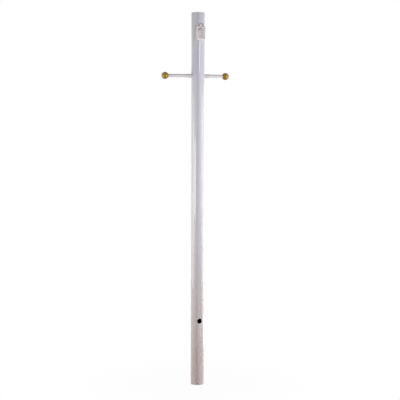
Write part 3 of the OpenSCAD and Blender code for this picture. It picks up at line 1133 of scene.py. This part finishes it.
@dataclass
class CrossArm:
    """The bar through the post, its two collars with their screws, and the ball ends."""

    spigot_radius: float = 5 * MM
    bar_edge: float = 0.5 * MM
    ball_radius: float = 20 * MM
    neck_radius: float = 10.75 * MM
    socket_radius: float = 5.1 * MM
    socket_depth: float = 14.3 * MM
    collar_wall: float = 1.5 * MM
    collar_reach: float = 29 * MM
    collar_tuck: float = 6 * MM
    collar_edge: float = 0.35 * MM
    clearance: float = 0.15 * MM
    gap: float = 0.1 * MM
    screw_head: float = 3.5 * MM
    screw_height: float = 2.2 * MM
    screw_shank: float = 1.75 * MM
    screw_length: float = 5 * MM
    steps: int = 72
    ball_steps: int = 96
    ball_arc_steps: int = 40

    def __post_init__(self) -> None:
        """Reads the bar's place and thickness, and works out the places of the balls."""
        low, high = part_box("arm_bar")
        self.z = middle_of("arm_bar").z
        self.bar = (high.z - low.z) / 2
        self.low, self.high = low.x, high.x
        self.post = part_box("post_tube")[1].x
        self.flat = math.sqrt(self.ball_radius**2 - self.neck_radius**2)
        self.centres = {side: self._middle(f"ball_{side.word}") for side in Side}

    def _middle(self, node: str) -> Vector:
        """Finds a ball's centre, a radius in from the outer end of its node.

        Args:
            node: Name of the ball's node.

        Returns:
            The centre.
        """
        outer = max((corner.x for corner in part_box(node)), key=abs)
        return Vector((outer - math.copysign(self.ball_radius, outer), 0, middle_of(node).z))

    def build(self) -> None:
        """Makes the whole arm."""
        self.build_bar()
        for side in Side:
            self.build_ball(side)
            self.build_collar(side)
            self.build_screw(side)

    def build_bar(self) -> None:
        """Makes the bar with its two spigots."""
        left = self.centres[Side.LEFT].x + self.flat + self.gap
        right = self.centres[Side.RIGHT].x - self.flat - self.gap
        section = [
            (0, self.low),
            (self.spigot_radius, self.low),
            (self.spigot_radius, left),
            (self.bar, left),
            (self.bar, right),
            (self.spigot_radius, right),
            (self.spigot_radius, self.high),
            (0, self.high),
        ]
        bm = turned(rounded_profile(section, self.bar_edge), Axis.X, Vector((0, 0, self.z)), self.steps)
        Piece("arm_rod", "post", Finishes.ARM, ("arm_bar",)).put(bm)

    def build_ball(self, side: Side) -> None:
        """Makes a turned ball with a beaded neck and a blind socket.

        Args:
            side: Which end of the arm.
        """
        # The bead round the neck, in millimetres beyond the neck's radius and along from the flat.
        bead = ((-0.5, 0.0), (-0.05, 0.15), (0.2, 0.5), (0.15, 0.9), (0.35, 1.15))
        bottom = self.socket_depth - self.flat
        profile = [(0.0, bottom), (self.socket_radius, bottom), (self.socket_radius, -self.flat)]
        profile += [(self.neck_radius + out * MM, along * MM - self.flat) for out, along in bead]
        start = math.asin(self.neck_radius / self.ball_radius)
        for step in range(2, self.ball_arc_steps):
            angle = start + (math.pi - start) * step / self.ball_arc_steps
            profile.append((self.ball_radius * math.sin(angle), -self.ball_radius * math.cos(angle)))
        profile.append((0.0, self.ball_radius))
        bm = turned([(r, side.value * x) for r, x in profile], Axis.X, self.centres[side], self.ball_steps)
        Piece(f"{side.word}_ball", "post", Finishes.BRASS, (f"ball_{side.word}",)).put(bm)

    def build_collar(self, side: Side) -> None:
        """Makes a sleeve on the bar, its inner end shaped to the side of the post.

        Args:
            side: Which side of the post.
        """
        # The outer end and the groove behind it, in millimetres below the outer radius and in from the end.
        groove = ((0.4, 0.0), (0.0, 0.9), (0.0, 3.2), (0.35, 3.6), (0.35, 4.4), (0.0, 4.8))
        bore = self.bar + self.clearance
        out = bore + self.collar_wall
        inner, outer = self.post - self.collar_tuck, self.post + self.collar_reach
        section = [(bore, outer - 3 * MM), (bore, outer)]
        section += [(out - below * MM, outer - along * MM) for below, along in groove]
        section.append((out, inner))
        profile = [*rounded_profile(section, self.collar_edge), (bore, inner)]
        bm = turned([(r, side.value * x) for r, x in profile], Axis.X, Vector((0, 0, self.z)), self.steps)
        seat = self.post + self.gap
        for vert in bm.verts:
            if abs(vert.co.x) < inner + 0.1 * MM:
                vert.co.x = side.value * math.sqrt(seat**2 - vert.co.y**2)
        bmesh.ops.recalc_face_normals(bm, faces=bm.faces)
        Piece(f"{side.word}_collar", "post", Finishes.ARM, (f"collar_{side.word}",)).put(bm)

    def build_screw(self, side: Side) -> None:
        """Makes the pan head screw under a collar.

        Args:
            side: Which collar.
        """
        seat = self.z - self.bar - self.clearance - self.collar_wall - self.gap
        screw = PanHead(self.screw_head, self.screw_height, self.screw_shank, self.screw_length)
        place = Matrix.Translation((side.value * (self.post + self.collar_reach / 2), 0, seat))
        bm = screw.mesh(place @ Matrix.Rotation(math.pi, 4, "X"))
        Piece(f"{side.word}_collar_screw", "post", Finishes.SCREW, (f"collar_screw_{side.word}",)).put(bm)


# ---- Outlet ----


@dataclass(frozen=True)
class Ears:
    """Sizes of the two hinge ears, which the frame carries and the lid's pin runs through."""

    gap: float = 31 * MM
    width: float = 3.6 * MM
    radius: float = 4 * MM
    stem: float = 3 * MM


@dataclass
class OutletFrame:
    """The moulded frame: skirt, rounded front, lip, deep well and two hinge ears, on its gasket."""

    outer: Outline = Outline(57 * MM, 78 * MM, 9 * MM)
    well: Outline = Outline(38 * MM, 54 * MM, 16 * MM)
    ears: Ears = Ears()
    proud: float = 6 * MM
    edge_round: float = 2 * MM
    back_edge: float = 0.25 * MM
    skin: float = 2.4 * MM
    well_skin: float = 2 * MM
    well_depth: float = 23 * MM
    lip: float = 1.2 * MM
    lip_edge: float = 0.35 * MM
    gasket: float = 1 * MM
    gap: float = 0.1 * MM
    face_radius: float = 17.5 * MM
    face_half: float = 14.5 * MM
    face_edge: float = 0.4 * MM

    def __post_init__(self) -> None:
        """Reads the outlet's and the hinge's places."""
        self.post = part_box("post_tube")[1].x
        self.z = middle_of("outlet_gasket").z
        self.face_z = middle_of("receptacle_face").z
        self.front = -self.post - self.proud
        self.floor = self.front + self.well_depth
        self.hinge = middle_of("hinge_pin")

    def build(self) -> None:
        """Makes the frame and its gasket."""
        moulding = together([self.moulding(), *(self.ear(side) for side in Side)])
        Piece("frame_moulding", "post", Finishes.FRAME, ("outlet_frame",)).put(moulding, crease=40.0)
        Piece("gasket_sheet", "post", Finishes.GASKET, ("outlet_gasket",)).put(self.gasket_sheet())

    def flat_ring(self, outline: Outline, y: float) -> list[Vector]:
        """An outline's points at one depth."""
        return [Vector((p.x, y, self.z + p.y)) for p in outline.points()]

    def round_ring(self, outline: Outline, radius: float) -> list[Vector]:
        """An outline's points laid on a cylinder round the post's axis."""
        return [Vector((p.x, -math.sqrt(radius**2 - p.x**2), self.z + p.y)) for p in outline.points()]

    def face_ring(self, y: float, spare: float = 0.0) -> list[Vector]:
        """Lays out the opening for the receptacle's face: a circle with two flats.

        Args:
            y: Depth.
            spare: How much wider than the opening the ring is.

        Returns:
            As many points as the well's outline has.
        """
        ring = []
        for p in self.well.points():
            angle = math.atan2(p.y - (self.face_z - self.z), p.x)
            x, z = on_flattened(self.face_radius + spare, self.face_half + spare, angle)
            ring.append(Vector((x, y, self.face_z + z)))
        return ring

    def moulding(self) -> BMesh:
        """Makes the frame without its ears, as one closed skin.

        Returns:
            A closed mesh.
        """
        seat = self.post + self.gasket + self.gap
        inner, collar = self.outer.inset(self.skin), self.well.inset(-self.well_skin)
        front, lip, edge, floor = self.front, self.front - self.lip, self.lip_edge, self.floor
        back_plate, underside = front + self.skin, floor + self.well_skin
        rings = [self.round_ring(inner, seat), self.round_ring(self.outer.inset(self.back_edge), seat)]
        rings.append([v + Vector((0, -self.back_edge, 0)) for v in self.round_ring(self.outer, seat)])
        for inset, back in rounded_edge(self.edge_round, 6):
            rings.append(self.flat_ring(self.outer.inset(inset), front + back))
        into_well = [
            (collar.inset(-0.5 * MM), front),
            (collar.inset(-0.15 * MM), front - 0.15 * MM),
            (collar, front - 0.5 * MM),
            (collar, lip + edge),
            (collar.inset(edge), lip),
            (self.well.inset(-edge), lip),
            (self.well, lip + edge),
            *((self.well, front + self.well_depth * share) for share in (0.15, 0.3, 0.5, 0.7, 0.9)),
            (self.well.inset(0.3 * MM), floor - 0.9 * MM),
            (self.well.inset(1.1 * MM), floor),
        ]
        rings += [self.flat_ring(outline, y) for outline, y in into_well]
        rings += [self.face_ring(floor, self.face_edge), self.face_ring(floor + self.face_edge)]
        rings.append(self.face_ring(underside))
        round_back = [
            (collar.inset(0.6 * MM), underside),
            (collar, underside - 0.6 * MM),
            (collar, back_plate),
            (inner, back_plate),
        ]
        rings += [self.flat_ring(outline, y) for outline, y in round_back]
        return Sleeve(rings).joined()

    def ear(self, side: Side) -> BMesh:
        """Makes an ear: an eye on a stem that is sunk in the frame, with a fillet where they meet.

        Args:
            side: Which ear.

        Returns:
            A closed mesh.
        """
        y, z, radius, front = self.hinge.y, self.hinge.z, self.ears.radius, self.front
        foot, back, sunk = z - 16 * MM, front + self.ears.stem, front + 0.4 * MM
        # The outline as (y, z): up the front from the sunk foot, round the eye and down the back.
        outline = [(sunk, foot), (sunk, z - 10.2 * MM), (front, z - 8.6 * MM)]
        outline += [(front, z - 6.4 * MM), (front - 0.35 * MM, z - 5.1 * MM)]
        first, sweep, steps = -112, -206, 24
        for step in range(steps + 1):
            angle = math.radians(first + sweep * step / steps)
            outline.append((y + radius * math.cos(angle), z + radius * math.sin(angle)))
        outline += [(back + 0.3 * MM, z - 4.3 * MM), (back, z - 6.2 * MM), (back, foot)]
        start = self.ears.gap / 2 if side is Side.RIGHT else -self.ears.gap / 2 - self.ears.width
        near = [Vector((start, py, pz)) for py, pz in outline]
        far = [v + Vector((self.ears.width, 0, 0)) for v in near]
        return soften(Sleeve([near, far]).capped(), 0.4 * MM)

    def gasket_sheet(self) -> BMesh:
        """Makes the rubber sheet under the skirt, with a bulged edge.

        Returns:
            A closed mesh.
        """
        opening, shrunk = self.well.inset(-self.well_skin - 1 * MM), self.outer.inset(self.back_edge)
        low, high = self.post + self.gap, self.post + self.gasket
        bulge = (self.outer, (low + high) / 2)
        section = ((opening, low), (shrunk, low), bulge, (shrunk, high), (opening, high))
        return Sleeve([self.round_ring(outline, radius) for outline, radius in section]).joined()


@dataclass
class Receptacle:
    """The receptacle's face with its slots and contacts, and the two screws that hold the frame."""

    radius: float = 17.2 * MM
    half: float = 14.2 * MM
    steps: int = 96
    border_height: float = 0.25 * MM
    pitch: float = 12.7 * MM
    slot_width: float = 2 * MM
    live_height: float = 6.8 * MM
    neutral_height: float = 8.4 * MM
    blade_rise: float = 4 * MM
    earth_drop: float = 11.9 * MM
    earth_radius: float = 2.5 * MM
    depth: float = 4 * MM
    contact_height: float = 1.4 * MM
    screw_height: float = 1.8 * MM
    screw_shank: float = 1.7 * MM

    def __post_init__(self) -> None:
        """Reads the face's place, and works out the places of its slots."""
        low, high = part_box("receptacle_face")
        self.front, self.back = low.y, high.y
        self.panel = self.front + self.border_height
        self.z = middle_of("receptacle_face").z
        self.blade_z = self.z + self.blade_rise
        self.blades = ((-self.pitch / 2, self.neutral_height), (self.pitch / 2, self.live_height))

    def build(self) -> None:
        """Makes the face, its contacts and the frame's screws, and dresses what lies behind."""
        face = Piece("receptacle_front", "post", Finishes.FACE, ("receptacle_face",))
        face.put(carved(self.blank(), self.slots()), crease=40.0)
        Piece("contacts", "post", Finishes.CONTACT, ()).put(together(self.contacts()))
        self.build_screw("upper_frame_screw", "frame_screw_upper")
        self.build_screw("lower_frame_screw", "frame_screw_lower")
        dress_node("receptacle_body", Finishes.FACE)
        dress_node("mounting_strap", Finishes.STRAP)
        dress_node("terminal_screw_live", Finishes.CONTACT)
        dress_node("terminal_screw_neutral", Finishes.SCREW)
        dress_node("terminal_screw_earth", Finishes.EARTH)

    def ring(self, y: float, inset: float) -> list[Vector]:
        """Lays out the face's outline at one depth.

        Args:
            y: Depth.
            inset: How far the outline is moved in.

        Returns:
            Points round a circle with two flats.
        """
        ring = []
        for step in range(self.steps):
            x, z = on_flattened(self.radius - inset, self.half - inset, math.tau * step / self.steps)
            ring.append(Vector((x, y, self.z + z)))
        return ring

    def blank(self) -> BMesh:
        """Makes the face before its slots, a flat panel within a raised border.

        Returns:
            A closed mesh.
        """
        front, panel = self.front, self.panel
        section = (
            (self.back, 0.0),
            (front + 1 * MM, 0.0),
            (front + 0.55 * MM, 0.1 * MM),
            (front + 0.2 * MM, 0.35 * MM),
            (front, 0.9 * MM),
            (front, 1.5 * MM),
            (panel, 1.9 * MM),
            (panel, 3.4 * MM),
        )
        return Sleeve([self.ring(y, inset) for y, inset in section]).capped()

    def slots(self) -> list[BMesh]:
        """Makes what is cut out of the face.

        Returns:
            Closed meshes for the two blade slots and the earth hole.
        """
        cutters = []
        for x, height in self.blades:
            outline = [
                Vector((x + across * self.slot_width / 2, 0, self.blade_z + up * height / 2))
                for across, up in QUARTERS
            ]
            cutters.append(self._flared(outline, Vector((x, 0, self.blade_z))))
        radius, earth_z = self.earth_radius, self.blade_z - self.earth_drop
        outline = [
            Vector((radius * math.cos(angle), 0, earth_z + radius * math.sin(angle)))
            for angle in (math.radians(180 + 180 * step / 12) for step in range(13))
        ]
        outline += [Vector((across * radius, 0, earth_z + radius)) for across in (1, -1)]
        cutters.append(self._flared(outline, Vector((0, 0, earth_z))))
        return cutters

    def _flared(self, outline: Sequence[Vector], middle: Vector) -> BMesh:
        """Makes a cutter that widens towards the front.

        Args:
            outline: Its outline in the plane y = 0.
            middle: Centre of the outline.

        Returns:
            A closed mesh.
        """
        loops = []
        for y, spread in (
            (self.front + self.depth, 0.0),
            (self.panel + 0.45 * MM, 0.0),
            (self.panel, 0.4 * MM),
            (self.panel - 1 * MM, 1.2 * MM),
        ):
            offsets = [p - middle for p in outline]
            shifts = [(math.copysign(spread, o.x), y, math.copysign(spread, o.z)) for o in offsets]
            loops.append([p + Vector(shift) for p, shift in zip(outline, shifts)])
        return Sleeve(loops).capped()

    def contacts(self) -> list[BMesh]:
        """Makes the sprung contacts that show at the bottom of the slots.

        Returns:
            Two closed meshes for each blade slot.
        """
        floor = self.front + self.depth
        made = []
        for x, height in self.blades:
            reach = height / 2 - 0.5 * MM
            for side in Side:
                near, far = sorted((x + side.value * 0.35 * MM, x + side.value * 0.85 * MM))
                low = Vector((near, floor - self.contact_height, self.blade_z - reach))
                high = Vector((far, floor - 0.02 * MM, self.blade_z + reach))
                made.append(block(low, high, 0.12 * MM))
        return made

    def build_screw(self, name: str, node: str) -> None:
        """Makes a pan head screw in the well's floor.

        Args:
            name: Name of the piece.
            node: Name of the CAD node that it stands for.
        """
        low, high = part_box(node)
        length = high.y - low.y - self.screw_height
        seat = Vector((middle_of(node).x, low.y + self.screw_height, middle_of(node).z))
        place = Matrix.Translation(seat) @ Matrix.Rotation(math.pi / 2, 4, "X")
        screw = PanHead((high.x - low.x) / 2, self.screw_height, self.screw_shank, length)
        Piece(name, "post", Finishes.SCREW, (node,)).put(screw.mesh(place))


# ---- Lid and hinge ----


@dataclass
class SprungLid:
    """The clear lid with its knuckle and finger tab, the hinge pin and the two lid springs."""

    outline: Outline = Outline(54 * MM, 75 * MM, 7.5 * MM)
    ears: Ears = Ears()
    depth: float = 6 * MM
    skin: float = 1.8 * MM
    crown: float = 0.35 * MM
    edge_round: float = 4 * MM
    rim_edge: float = 0.25 * MM
    rim_bead: float = 0.3 * MM
    knuckle_radius: float = 4 * MM
    knuckle_length: float = 16 * MM
    web: float = 3.4 * MM
    web_top: float = 2.2 * MM
    tab_width: float = 44 * MM
    tab_reach: float = 4 * MM
    tab_sunk: float = 1 * MM
    ridges: int = 3
    pin_radius: float = 1.5 * MM
    pin_head: float = 2.6 * MM
    pin_play: float = 0.06 * MM
    coil_radius: float = 3.3 * MM
    wire_radius: float = 0.6 * MM
    coil_gap: float = 0.3 * MM
    turns: float = 3.5
    turn_steps: int = 28
    knuckle_steps: int = 48
    pin_steps: int = 40

    def __post_init__(self) -> None:
        """Reads the hinge's and the lid's places."""
        self.hinge = middle_of("hinge_pin")
        self.pin_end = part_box("hinge_pin")[1].x
        self.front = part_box("outlet_lid")[0].y
        self.rim = self.front + self.depth
        self.z = middle_of("outlet_gasket").z

    def build(self) -> None:
        """Makes the lid, the pin and the springs."""
        moulding = together([self.shell(), self.knuckle(), self.web_block(), *self.tab()])
        Piece("lid_moulding", "lid", Finishes.LID, ("outlet_lid",)).put(moulding, crease=40.0)
        Piece("hinge_rod", "post", Finishes.SCREW, ("hinge_pin",)).put(self.pin())
        for side in Side:
            piece = Piece(f"{side.word}_lid_spring", "post", Finishes.SPRING, (f"lid_spring_{side.word}",))
            piece.put(self.spring(side), crease=50.0)

    def ring(self, inset: float, y: float) -> list[Vector]:
        """The lid's outline, moved in, at one depth."""
        return [Vector((p.x, y, self.z + p.y)) for p in self.outline.inset(inset).points()]

    def shell(self) -> BMesh:
        """Makes the lid's cup: a slightly crowned front, a rounded edge, a straight wall and a beaded rim.

        Returns:
            A closed mesh.
        """
        middle = self.outline.width / 2 - 1.5 * MM
        pane = [middle * share for share in (1, 0.75, 0.5, 0.3)]
        inner_front = self.front + self.skin
        inner_round = self.edge_round - self.skin
        section = [(inset, inner_front) for inset in pane]
        for inset, back in reversed(rounded_edge(inner_round, 6)):
            section.append((self.skin + inset, inner_front + back))
        section += [
            (self.skin, self.rim - self.rim_edge),
            (self.skin - self.rim_edge, self.rim),
            (self.rim_edge, self.rim),
            (0.0, self.rim - self.rim_edge),
            (0.0, self.rim - 1.1 * MM),
            (self.rim_bead, self.rim - 1.5 * MM),
        ]
        for inset, back in rounded_edge(self.edge_round, 8):
            section.append((self.rim_bead + inset, self.front + self.crown + back))
        for inset in reversed(pane):
            section.append((inset, self.front + self.crown * (1 - inset / middle) ** 2))
        return Sleeve([self.ring(inset, y) for inset, y in section]).capped()

    def knuckle(self) -> BMesh:
        """Makes the pipe that turns on the hinge pin.

        Returns:
            A closed mesh.
        """
        bore, half = self.pin_radius + self.pin_play, self.knuckle_length / 2
        profile = pipe_profile(bore, self.knuckle_radius, -half, half, 0.5 * MM)
        return turned(profile, Axis.X, self.hinge, self.knuckle_steps)

    def web_block(self) -> BMesh:
        """Makes the web from the knuckle down to the lid.

        Returns:
            A closed mesh.
        """
        half = self.knuckle_length / 2
        low = Vector((-half, self.rim - self.web, self.z + self.outline.height / 2 - self.skin))
        high = Vector((half, self.rim, self.hinge.z - self.web_top))
        return block(low, high, 0.3 * MM)

    def tab(self) -> list[BMesh]:
        """Makes the finger tab below the lid, with its grip ridges.

        Returns:
            Closed meshes.
        """
        bottom = self.z - self.outline.height / 2
        back = self.rim - self.tab_sunk
        low = Vector((-self.tab_width / 2, back - self.skin, bottom - self.tab_reach))
        high = Vector((self.tab_width / 2, back, bottom + self.skin))
        made = [block(low, high, 0.5 * MM)]
        ridge = [(0.0, -6 * MM), (0.25 * MM, -5.8 * MM), (0.3 * MM, 5.8 * MM), (0.0, 6 * MM)]
        for step in range(self.ridges):
            z = bottom - self.tab_reach + (0.9 + step) * MM
            made.append(turned(ridge, Axis.X, Vector((0, back - self.skin, z)), 12))
        return made

    def pin(self) -> BMesh:
        """Makes the hinge pin with its two domed heads.

        Returns:
            A closed mesh.
        """
        inner = self.ears.gap / 2 + self.ears.width + 0.1 * MM
        half = [
            (self.pin_radius, inner),
            (self.pin_head, inner),
            (self.pin_head, inner + 0.5 * MM),
            (self.pin_head * 0.85, self.pin_end - 0.25 * MM),
            (self.pin_head * 0.5, self.pin_end - 0.04 * MM),
            (0.0, self.pin_end),
        ]
        profile = [(r, -x) for r, x in reversed(half)] + half
        return turned(profile, Axis.X, Vector((0, self.hinge.y, self.hinge.z)), self.pin_steps)

    def spring(self, side: Side) -> BMesh:
        """Makes a coil round the pin with a straight leg down to the frame's shoulder.

        Args:
            side: Which spring.

        Returns:
            A closed mesh.
        """
        start = self.knuckle_length / 2 + self.coil_gap + self.wire_radius
        end = self.ears.gap / 2 - self.coil_gap - self.wire_radius
        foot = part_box(f"lid_spring_{side.word}")[0].z
        steps = int(self.turns * self.turn_steps)
        bm = bmesh.new()
        ring = bmesh.ops.create_circle(bm, segments=12, radius=self.wire_radius)["verts"]
        centre = Vector((side.value * start, self.hinge.y, self.hinge.z))
        bmesh.ops.translate(bm, vec=centre + Vector((0, -self.coil_radius, 0)), verts=ring)
        first = list(bm.edges)
        coil = bmesh.ops.spin(
            bm,
            geom=list(bm.verts) + first,
            cent=centre,
            axis=(-1, 0, 0),
            dvec=(side.value * (end - start) / steps, 0, 0),
            angle=math.tau * self.turns,
            steps=steps,
            use_merge=False,
        )
        last = [item for item in coil["geom_last"] if isinstance(item, BMEdge)]
        leg = bmesh.ops.extrude_edge_only(bm, edges=last)["geom"]
        down = [item for item in leg if isinstance(item, BMVert)]
        bmesh.ops.translate(bm, vec=(0, 0, foot - self.hinge.z), verts=down)
        sides = [item for item in leg if isinstance(item, BMEdge)]
        bmesh.ops.edgeloop_fill(bm, edges=first)
        bmesh.ops.edgeloop_fill(bm, edges=[e for e in sides if all(v in down for v in e.verts)])
        bmesh.ops.recalc_face_normals(bm, faces=bm.faces)
        return bm


# ---- Studio ----


@dataclass(frozen=True)
class SoftBox:
    """A soft box round the post.

    turn is its direction, in degrees to the right of the camera, and centre the height of its middle.
    Where aim is given, the box is tilted towards the post at that height.
    """

    name: str
    turn: float
    centre: float
    width: float
    height: float
    power: float
    tint: Colour = (1.0, 1.0, 1.0)
    aim: float | None = None
    distance: float = 2.2


@dataclass
class Studio:
    """The pale floor, the white surround, the lamps and the camera, with angles in degrees.

    The surround is dark to reflections round the direction dark_turn, and gets dark between the two
    cosines of dark_edge.
    """

    azimuth: float = -20.0
    distance: float = 6.5
    eye: float = 1.5
    pitch: float = 3.807
    yaw: float = -0.121
    roll: float = 0.146
    lens: float = 102.14
    sensor: float = 36.0
    farthest: float = 200.0
    ambient: Colour = (0.05, 0.05, 0.05)
    floor_colour: Colour = (0.62, 0.62, 0.62)
    floor_radius: float = 60.0
    floor_glow: float = 0.965
    shadow_reach: tuple[float, float] = (0.1, 0.9)
    dark_turn: float = -2.0
    dark_edge: tuple[float, float] = (0.9, 0.97)
    lamps: tuple[SoftBox, ...] = (
        SoftBox("key", 78, 0.85, 1.0, 1.6, 29.0, (1.0, 0.97, 0.885)),
        SoftBox("side", 100, 1.25, 0.9, 2.4, 7.2),
        SoftBox("rim", 135, 0.95, 0.9, 1.9, 12.0),
        SoftBox("low", 140, 0.1, 1.6, 0.25, 2.0, distance=0.9),
        SoftBox("front", 50, 1.4, 0.7, 2.2, 8.7, (0.97, 0.98, 1.0)),
        SoftBox("strip", 28.5, 2.12, 0.26, 0.62, 10.2, (0.84, 0.9, 1.0)),
        SoftBox("window", -46, 1.15, 0.9, 0.76, 18.5, (1.0, 0.975, 0.97)),
        SoftBox("fill", -82, 1.0, 0.8, 1.8, 20.5, (1.0, 0.975, 0.82)),
        SoftBox("back", -125, 1.2, 0.9, 2.0, 4.1),
        SoftBox("behind", 180, 1.3, 0.9, 2.0, 7.0),
        SoftBox("upper_left", -15, 3.2, 0.5, 0.5, 1.2, (1.0, 0.96, 0.9), aim=1.95),
        SoftBox("upper_right", 20, 3.2, 0.5, 0.5, 1.6, aim=1.95),
        SoftBox("near", -42, 2.0, 0.5, 0.5, 0.6),
    )

    def build(self) -> None:
        """Sets up everything round the post."""
        self.surround()
        self.floor()
        for lamp in self.lamps:
            self.place_lamp(lamp)
        self.camera()

    def direction(self, turn: float) -> Vector:
        """Level direction from the post, turned to the right of the camera by some degrees."""
        angle = math.radians(self.azimuth + turn)
        return Vector((math.sin(angle), -math.cos(angle), 0))

    def dim(self, graph: Graph) -> Socket:
        """Shades the white of the surround.

        Args:
            graph: Node tree of the world or the floor.

        Returns:
            White to the eye, and dark where something shiny mirrors the side that the camera is on.
        """
        point = graph.place((1, 1, 0))
        level_way = graph.node("ShaderNodeVectorMath", {"operation": "NORMALIZE"}, {0: point})
        towards = {0: level_way, 1: self.direction(self.dark_turn)}
        facing = graph.node("ShaderNodeVectorMath", {"operation": "DOT_PRODUCT"}, towards, "Value")
        mirrored = graph.node("ShaderNodeLightPath", output="Is Glossy Ray")
        return 1 - facing.ramp(*self.dark_edge) * mirrored

    def surround(self) -> None:
        """Makes the world white to the eye and to reflections, and a soft grey to everything else."""
        world = bpy.data.worlds.new("surround")
        bpy.context.scene.world = world
        graph = Graph(world, "ShaderNodeOutputWorld")
        soft = graph.node("ShaderNodeBackground", {}, {"Color": self.ambient})
        white = graph.node("ShaderNodeBackground", {}, {"Color": self.dim(graph)})
        graph.surface(graph.node("ShaderNodeMixShader", {}, {0: graph.seen(), 1: soft, 2: white}))

    def floor(self) -> None:
        """Makes a wide floor, pale round the post, where it keeps its shadow, and white further away."""
        bm = bmesh.new()
        bmesh.ops.create_circle(bm, cap_ends=True, segments=96, radius=self.floor_radius)
        made = as_object("floor", bm)
        material = bpy.data.materials.new("floor_pale")
        graph = Graph(material, "ShaderNodeOutputMaterial")
        away = graph.node("ShaderNodeVectorMath", {"operation": "LENGTH"}, {0: graph.place()}, "Value")
        glow = self.floor_glow + (1 - self.floor_glow) * away.ramp(*self.shadow_reach)
        pale = graph.node("ShaderNodeBsdfDiffuse", {}, {"Color": self.floor_colour})
        white = graph.node("ShaderNodeEmission", {}, {"Color": self.dim(graph), "Strength": 1.0})
        graph.surface(graph.node("ShaderNodeMixShader", {}, {0: graph.seen() * glow, 1: pale, 2: white}))
        made.data.materials.append(material)

    def place_lamp(self, box: SoftBox) -> None:
        """Puts a soft box round the post, facing it.

        Args:
            box: The soft box.
        """
        light = bpy.data.lights.new(box.name, "AREA")
        light.shape = "RECTANGLE"
        light.size, light.size_y = box.width, box.height
        light.energy, light.color = box.power, box.tint
        made = bpy.data.objects.new(box.name, light)
        bpy.context.scene.collection.objects.link(made)
        away = self.direction(box.turn)
        made.location = away * box.distance + Vector((0, 0, box.centre))
        target = Vector((0, 0, box.centre if box.aim is None else box.aim))
        made.rotation_euler = (target - made.location).to_track_quat("-Z", "Y").to_euler()
        made.visible_camera = False

    def camera(self) -> None:
        """Sets up the camera in front of the post, a little to the left."""
        data = bpy.data.cameras.new("camera")
        data.lens, data.sensor_width, data.clip_end = self.lens, self.sensor, self.farthest
        made = bpy.data.objects.new("camera", data)
        bpy.context.scene.collection.objects.link(made)
        back = self.direction(0)
        ahead = Matrix.Rotation(math.radians(self.yaw), 3, "Z") @ -back
        pitch = math.radians(self.pitch)
        sideways = Vector((ahead.y, -ahead.x, 0))
        look = ahead * math.cos(pitch) - Vector((0, 0, math.sin(pitch)))
        above = ahead * math.sin(pitch) + Vector((0, 0, math.cos(pitch)))
        roll = math.radians(self.roll)
        right = sideways * math.cos(roll) + above * math.sin(roll)
        top = above * math.cos(roll) - sideways * math.sin(roll)
        turn = Matrix((right, top, -look)).transposed().to_4x4()
        made.matrix_world = Matrix.Translation(back * self.distance + Vector((0, 0, self.eye))) @ turn
        bpy.context.scene.camera = made


def corners(bounds: tuple[Vector, Vector]) -> list[list[float]]:
    """The two corners of a box as plain lists."""
    return [list(corner) for corner in bounds]


def main() -> None:
    """Builds the sub-assemblies in order."""
    logging.basicConfig(level=logging.INFO, format="%(message)s")
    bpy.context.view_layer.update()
    scene = bpy.context.scene
    scene.view_settings.view_transform = "Standard"
    for assembly in (Studio(), PostTube(), CrossArm(), OutletFrame(), Receptacle(), SprungLid()):
        LOG.info("== %s", type(assembly).__name__)
        assembly.build()


if __name__ == "__main__":
    main()
